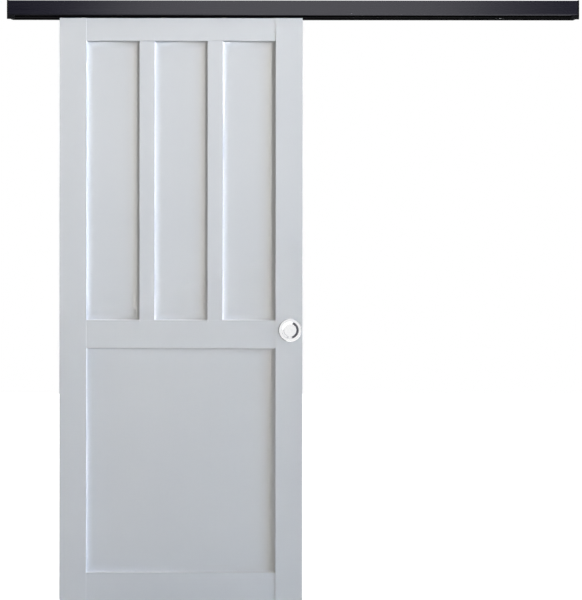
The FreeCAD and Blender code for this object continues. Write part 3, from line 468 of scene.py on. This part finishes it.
# %% Finish: bright zinc plating
tree, shader, here = new_finish("zinc_steel", Metallic=1.0)
tone = use(tree, patches, {"Vector": here, "Scale": 90.0})["Patch"]
drawn = use(tree, brushing, {"Vector": here, "Stretch": (300.0, 300.0, 1800.0)})["Streaks"]
wear = use(tree, rubbed_edges, {"Vector": here, "Radius": 0.0004, "Scale": 120.0})["Wear"]
colour = mixed(tree, tone, (0.50, 0.52, 0.56, 1), (0.66, 0.67, 0.68, 1))
colour = mixed(tree, wear, colour, (0.74, 0.74, 0.73, 1))
rough = between(tree, maths(tree, "MULTIPLY", drawn, tone), 0, 1, 0.26, 0.42)
dress(tree, shader, colour, rough, drawn, 0.000006)

# %% [markdown]
# The trolleys and stops are cast and then tumbled with stones, which takes the mould's skin off the high
# spots and leaves the rest grey. A coarse grain and paler edges give that.

# %% Finish: tumbled zinc casting
tree, shader, here = new_finish("cast_zinc", Metallic=1.0)
skin = use(tree, mould_grain, {"Vector": here, "Scale": 900.0})["Height"]
tone = use(tree, patches, {"Vector": here, "Scale": 70.0})["Patch"]
wear = use(tree, rubbed_edges, {"Vector": here, "Radius": 0.0006, "Scale": 90.0})["Wear"]
colour = mixed(tree, tone, (0.34, 0.35, 0.37, 1), (0.46, 0.47, 0.48, 1))
colour = mixed(tree, wear, colour, (0.66, 0.66, 0.66, 1))
rough = between(tree, tone, 0, 1, 0.42, 0.55)
dress(tree, shader, colour, rough, skin, 0.00004)

# %% [markdown]
# Bearing rings are ground round and round, so their lines follow the wheel's axis, which lies along Y.

# %% Finish: ground bearing steel
tree, shader, here = new_finish("bearing_steel", Metallic=1.0)
ground = use(tree, brushing, {"Vector": here, "Stretch": (900.0, 2500.0, 900.0)})["Streaks"]
tone = use(tree, patches, {"Vector": here, "Scale": 200.0})["Patch"]
colour = mixed(tree, tone, (0.60, 0.60, 0.62, 1), (0.74, 0.74, 0.75, 1))
rough = between(tree, ground, 0, 1, 0.14, 0.26)
dress(tree, shader, colour, rough, ground, 0.000003)

# %% [markdown]
# The tyres are nylon turned on a lathe: off-white, waxy, with fine rings, and grey where they rub the track.

# %% Finish: turned nylon
tree, shader, here = new_finish("tyre_nylon", IOR=1.53)
turned = use(tree, brushing, {"Vector": here, "Stretch": (60.0, 3500.0, 60.0)})["Streaks"]
tone = use(tree, patches, {"Vector": here, "Scale": 150.0})["Patch"]
grime = use(tree, rubbed_edges, {"Vector": here, "Radius": 0.0006, "Scale": 200.0})["Wear"]
colour = mixed(tree, tone, (0.74, 0.74, 0.70, 1), (0.82, 0.82, 0.79, 1))
colour = mixed(tree, maths(tree, "MULTIPLY", grime, 0.5), colour, (0.42, 0.41, 0.38, 1))
rough = between(tree, turned, 0, 1, 0.36, 0.50)
dress(tree, shader, colour, rough, turned, 0.00001)

# %% [markdown]
# Rubber buffers are almost black. In time a dull bloom comes to the surface in patches, which changes
# both the colour and the sheen.

# %% Finish: buffer rubber
tree, shader, here = new_finish("buffer_rubber", IOR=1.50)
skin = use(tree, mould_grain, {"Vector": here, "Scale": 1100.0})["Height"]
bloom = use(tree, patches, {"Vector": here, "Scale": 160.0})["Patch"]
colour = mixed(tree, bloom, (0.018, 0.018, 0.018, 1), (0.040, 0.040, 0.042, 1))
rough = between(tree, bloom, 0, 1, 0.68, 0.85)
dress(tree, shader, colour, rough, skin, 0.00005)

# %% [markdown]
# The floor guide is grey moulded plastic. It is the one piece that sits where dust settles, so it has the
# most of it.

# %% Finish: grey guide plastic
tree, shader, here = new_finish("guide_plastic", IOR=1.49)
grain = use(tree, mould_grain, {"Vector": here, "Scale": 1200.0})["Height"]
tone = use(tree, patches, {"Vector": here, "Scale": 60.0})["Patch"]
wear = use(tree, rubbed_edges, {"Vector": here, "Radius": 0.0008, "Scale": 120.0})["Wear"]
dust = use(tree, settled_dust, {"Vector": here, "Amount": 0.4, "Scale": 60.0})["Dust"]
colour = mixed(tree, tone, (0.50, 0.51, 0.52, 1), (0.57, 0.58, 0.59, 1))
colour = mixed(tree, wear, colour, (0.40, 0.40, 0.40, 1))
colour = mixed(tree, dust, colour, DUST)
rough = between(tree, tone, 0, 1, 0.44, 0.54)
dress(tree, shader, colour, rough, grain, 0.00003)

# %% [markdown]
# The leaf wears sprayed satin paint, a cool white. Sprayed paint is never a mirror: the drops level into a
# fine ripple called orange peel, the sheen changes a little from coat to coat, and the arrises get a bit
# thinner and warmer where hands and cloths pass.

# %% Finish: sprayed satin paint
tree, shader, here = new_finish("painted_wood", IOR=1.48)
ripple = add(tree, "ShaderNodeTexNoise", {"Vector": here, "Scale": 420.0, "Detail": 2.0})
fibre = use(tree, brushing, {"Vector": here, "Stretch": (260.0, 260.0, 14.0)})["Streaks"]
tone = use(tree, patches, {"Vector": here, "Scale": 3.0})["Patch"]
wear = use(tree, rubbed_edges, {"Vector": here, "Radius": 0.0007, "Scale": 30.0})["Wear"]
dust = use(tree, settled_dust, {"Vector": here, "Amount": 0.25, "Scale": 18.0})["Dust"]
colour = mixed(tree, tone, (0.638, 0.648, 0.676, 1), (0.658, 0.667, 0.692, 1))
colour = mixed(tree, maths(tree, "MULTIPLY", wear, 0.25), colour, (0.60, 0.585, 0.55, 1))
colour = mixed(tree, dust, colour, DUST)
rough = between(tree, tone, 0, 1, 0.44, 0.52)
height = maths(tree, "ADD", ripple.outputs["Fac"], maths(tree, "MULTIPLY", fibre, 0.25))
dress(tree, shader, colour, rough, height, 0.00003)

# %% [markdown]
# The dowels are bare beech: pinkish brown with short dark flecks along the grain, which runs along X.

# %% Finish: bare beech
tree, shader, here = new_finish("bare_beech", IOR=1.45)
rings = use(tree, brushing, {"Vector": here, "Stretch": (30.0, 700.0, 700.0)})["Streaks"]
flecks = use(tree, brushing, {"Vector": here, "Stretch": (400.0, 2600.0, 2600.0)})["Streaks"]
colour = mixed(tree, rings, (0.50, 0.33, 0.19, 1), (0.66, 0.48, 0.30, 1))
flecked = mixed(tree, maths(tree, "MULTIPLY", flecks, 0.35), colour, (0.36, 0.22, 0.12, 1))
rough = between(tree, rings, 0, 1, 0.60, 0.72)
dress(tree, shader, flecked, rough, flecks, 0.00004)

# %% [markdown]
# The pulls are chromed and then satin finished while they turn, so the fine rings follow the distance from
# the pull's axis. The distance is worked out from the CAD piece's own middle.

# %% Finish: turned satin chrome
tree, shader, here = new_finish("satin_chrome", Metallic=1.0)
low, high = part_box("pull_front")
pull_axis = ((low.x + high.x) / 2, 0, (low.z + high.z) / 2)
off_axis = add(tree, "ShaderNodeVectorMath", {0: here, 1: pull_axis}, operation="SUBTRACT").outputs[0]
across = add(tree, "ShaderNodeVectorMath", {0: off_axis, 1: (1, 0, 1)}, operation="MULTIPLY").outputs[0]
radius = add(tree, "ShaderNodeVectorMath", {0: across}, operation="LENGTH").outputs["Value"]
spacing = maths(tree, "MULTIPLY", radius, 2200.0)
rings = add(tree, "ShaderNodeTexNoise", {"W": spacing, "Detail": 2.0}, noise_dimensions="1D").outputs["Fac"]
tone = use(tree, patches, {"Vector": here, "Scale": 30.0})["Patch"]
colour = mixed(tree, tone, (0.84, 0.845, 0.86, 1), (0.88, 0.88, 0.885, 1))
colour = mixed(tree, maths(tree, "MULTIPLY", rings, 0.2), colour, (0.95, 0.95, 0.95, 1))
rough = between(tree, rings, 0.3, 0.7, 0.12, 0.18)
dress(tree, shader, colour, rough, rings, 0.0000008)
print("finishes", sorted(FINISHES))

# %% [markdown]
# Every CAD node gets the finish of its slot, except the track, which gets the black finish of painted shade.
# A node that a new piece stands for keeps its finish too, as it may be shown again.

# %% Give each CAD node its finish
# The track takes the black finish of painted shade instead of its own slot's finish.
for node, cad in frame["nodes"].items():
    for socket in cad.material_slots:
        socket.material = FINISHES["painted_shade_black" if node == "track" else socket.name.split(".")[0]]
print("nodes with a finish", len(frame["nodes"]))

# %% [markdown]
# A machined or sawn edge is never perfectly sharp, and a sharp one looks false because it catches no light. So
# the pieces that show their edges are made again from a copy of the CAD shape. Its loose triangles are
# merged, the flat ones are joined, and then the sharp edges are bevelled by as much as the real ones are
# broken.

# %% Helpers: a finished piece and an eased copy
SMOOTH_BELOW = math.radians(40)
SHARP_ABOVE = math.radians(30)
FLAT_BELOW = math.radians(0.5)
WELD = 1e-6


def finished(shape, name, body, slot, *nodes):
    """Makes an object of a bmesh, rides it on its body and lets it stand for CAD nodes."""
    bmesh.ops.recalc_face_normals(shape, faces=shape.faces)
    for face in shape.faces:
        face.smooth = True
    for side in shape.edges:
        side.smooth = side.calc_face_angle(0.0) < SMOOTH_BELOW
    mesh = bpy.data.meshes.new(name)
    shape.to_mesh(mesh)
    shape.free()
    piece = bpy.data.objects.new(name, mesh)
    bpy.context.scene.collection.objects.link(piece)
    mesh.materials.append(FINISHES[slot])
    piece.modifiers.new("even_normals", "WEIGHTED_NORMAL").keep_sharp = True
    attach(piece, body)
    if nodes:
        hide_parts(*nodes)
    print(name, len(mesh.polygons), "faces")
    return piece


def eased(node, width, segments=2, longer_than=0.0):
    """A copy of a CAD node with its sharp edges broken by width."""
    cad = frame["nodes"][node]
    slot = cad.material_slots[0].material.name.replace("finish_", "")
    shape = bmesh.new()
    shape.from_mesh(cad.data)
    bmesh.ops.remove_doubles(shape, verts=shape.verts, dist=WELD)
    bmesh.ops.dissolve_limit(shape, angle_limit=FLAT_BELOW, verts=shape.verts, edges=shape.edges)
    sharp = [
        side for side in shape.edges
        if side.calc_face_angle(0.0) > SHARP_ABOVE and side.calc_length() > longer_than
    ]
    bmesh.ops.bevel(
        shape, geom=sharp, offset=width, offset_type="OFFSET", segments=segments, profile=0.5,
        affect="EDGES", clamp_overlap=True, material=-1,
    )
    return finished(shape, node + "_eased", cad["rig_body"], slot, node)


print("edges sharper than", round(math.degrees(SHARP_ABOVE)), "degrees are eased")

# %% [markdown]
# Stiles, rails and mullions are sanded along their edges before they are painted, which leaves a radius of
# about a millimetre. The paint gathers there, so the joints between them show as fine lines.

# %% Ease the timber
TIMBER_EASE = 0.0012
for node in ("stile_left", "stile_right", "top_rail", "lock_rail", "bottom_rail", "mullion_left", "mullion_right"):
    eased(node, TIMBER_EASE, segments=3, longer_than=0.012)

# %% [markdown]
# Each panel swells up to its frame in a low cove, wide on the panel and short on the frame. It is what the
# light picks out: it fades from bright on the sides that face the window and the ceiling, and from dark on the
# other two. It starts as the opening's flat face. An inset gives the strip that lies on the panel, an extrusion
# the strip on the frame, and a bevel of the corner between them is a round hollow, which is then pressed low.
# The two strips stay behind it as its back.

# %% Helper: a cove
COVE_WIDTH = 0.022
COVE_HEIGHT = 0.0075
COVE_REACH = 0.999 * COVE_WIDTH
COVE_WELD = 0.00004


def cove(name, low, high, level, out):
    """A cove around the opening from low to high, on the panel's face at level; out is -1 at the front."""
    shape = bmesh.new()
    bmesh.ops.create_grid(shape, x_segments=1, y_segments=1, size=0.5)
    bmesh.ops.scale(shape, vec=(high[0] - low[0], high[1] - low[1], 1), verts=shape.verts)
    upright = Matrix.Rotation(QUARTER_TURN, 4, "X")
    centre = Matrix.Translation(((low[0] + high[0]) / 2, level, (low[1] + high[1]) / 2))
    bmesh.ops.transform(shape, matrix=centre @ upright, verts=shape.verts)
    middle = shape.faces[:]
    bmesh.ops.inset_region(shape, faces=middle, thickness=COVE_WIDTH, use_boundary=True, use_even_offset=True)
    corner = [side for side in shape.edges if side.is_boundary]
    bmesh.ops.delete(shape, geom=middle, context="FACES")
    wall = bmesh.ops.extrude_edge_only(shape, edges=corner)["geom"]
    wall_top = [part for part in wall if isinstance(part, bmesh.types.BMVert)]
    bmesh.ops.translate(shape, vec=(0, out * COVE_WIDTH, 0), verts=wall_top)
    hollow = bmesh.ops.duplicate(shape, geom=shape.verts[:] + shape.edges[:] + shape.faces[:])
    bends = [hollow["edge_map"][side] for side in corner]
    bmesh.ops.bevel(
        shape, geom=bends, offset=COVE_REACH, offset_type="OFFSET", segments=9, profile=0.5, affect="EDGES",
        clamp_overlap=True, material=-1,
    )
    bmesh.ops.remove_doubles(shape, verts=shape.verts, dist=COVE_WELD)
    from_panel = Matrix.Translation((0, -level, 0))
    bmesh.ops.scale(shape, vec=(1, COVE_HEIGHT / COVE_WIDTH, 1), space=from_panel, verts=shape.verts)
    finished(shape, name, "leaf", "painted_wood")


print("coves", COVE_WIDTH, "wide on the panel and", COVE_HEIGHT, "high on the frame")

# %% Cove around each panel, front and back
across = [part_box(node) for node in ("stile_left", "mullion_left", "mullion_right", "stile_right")]
upper = (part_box("lock_rail")[1].z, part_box("top_rail")[0].z)
lower = (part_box("bottom_rail")[1].z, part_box("lock_rail")[0].z)
openings = [((left[1].x, upper[0]), (right[0].x, upper[1])) for left, right in zip(across, across[1:])]
openings.append(((across[0][1].x, lower[0]), (across[3][0].x, lower[1])))
panel_low, panel_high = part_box("lower_panel")
for number, (low, high) in enumerate(openings, start=1):
    cove(f"cove_front_{number}", low, high, panel_low.y, -1)
    cove(f"cove_back_{number}", low, high, panel_high.y, 1)

# %% [markdown]
# Metal and plastic are eased less than timber. A sawn extrusion is only wiped with a file, a moulding has the
# radius of its mould, a casting that of the tumbling stones. On its underside and back the fascia takes the
# black finish of painted shade, so these faces render near black.

# %% Ease the metal and the plastic
METAL_EASE = 0.0005
THIN_EASE = 0.0004
CAP_EASE = 0.0009
GUIDE_EASE = 0.0006
fascia = eased("fascia", THIN_EASE, longer_than=0.005)
fascia.data.materials.append(FINISHES["painted_shade_black"])
# Faces that look down or back get the black finish of painted shade.
for face in fascia.data.polygons:
    faces_down = face.normal.z < -0.9
    faces_back = face.normal.y > 0.5
    if faces_down or faces_back:
        face.material_index = 1
for node in ("end_cap_left", "end_cap_right"):
    eased(node, CAP_EASE, segments=3, longer_than=0.003)
for number in (1, 2, 3, 4):
    eased(f"wall_bracket_{number}", METAL_EASE)
    eased(f"fascia_clip_{number}", THIN_EASE)
for node in ("trolley_left", "trolley_right", "stop_left", "stop_right"):
    eased(node, METAL_EASE)
for node in ("hanger_plate_left", "hanger_plate_right"):
    eased(node, THIN_EASE)
eased("floor_guide", GUIDE_EASE)

# %% [markdown]
# The two flush pulls are pressed from sheet and turned bright. A lathe shape is a profile spun about its axis.
# The profile needs only its corners: a bevel of single vertices rounds each by its own radius, so the rim
# rolls over softly into the sloping wall of the dish. The wall is what shows the metal: it leans just enough to
# mirror the side of the room. The spin is welded shut.

# %% Helper: a turned piece
SEAM_WELD = 1e-7


def spun(corners, steps):
    """Spins a profile about the Y axis. Each corner is its radius, its depth and the rounding it gets."""
    shape = bmesh.new()
    points = [shape.verts.new((radius, depth, 0)) for radius, depth, rounding in corners]
    for start, end in zip(points, points[1:]):
        shape.edges.new((start, end))
    for point, corner in zip(points, corners):
        if corner[2]:
            bmesh.ops.bevel(
                shape, geom=[point], offset=corner[2], offset_type="OFFSET", segments=6, profile=0.5,
                affect="VERTICES", material=-1,
            )
    bmesh.ops.spin(
        shape, geom=shape.verts[:] + shape.edges[:], cent=(0, 0, 0), axis=(0, 1, 0), dvec=(0, 0, 0),
        angle=math.tau, steps=steps, use_merge=True, use_duplicate=False,
    )
    bmesh.ops.remove_doubles(shape, verts=shape.verts, dist=SEAM_WELD)
    return shape


print("seams are welded within", SEAM_WELD)

# %% Turn the two flush pulls
MM = 0.001
PULL_STEPS = 96
PULL_PROFILE = (
    (0, 5.0, 0), (22.0, 5.0, 1.2), (29.0, 0.0, 0.8), (29.0, -2.0, 0.8), (38.6, -1.9, 0.9), (40.0, -0.9, 0.6),
    (40.0, 0.0, 0), (30.2, 0.0, 0), (23.2, 6.2, 1.2), (0, 6.2, 0),
)
stile_low, stile_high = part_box("stile_right")
for node, leaf_face, turn in (("pull_front", stile_low.y, 0), ("pull_back", stile_high.y, 180)):
    low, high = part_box(node)
    shape = spun([(r * MM, d * MM, f * MM) for r, d, f in PULL_PROFILE], PULL_STEPS)
    centre = Vector(((low.x + high.x) / 2, leaf_face, (low.z + high.z) / 2))
    place = Matrix.Translation(centre) @ Matrix.Rotation(math.radians(turn), 4, "Z")
    bmesh.ops.transform(shape, matrix=place, verts=shape.verts)
    finished(shape, node + "_turned", "leaf", "satin_chrome", node)
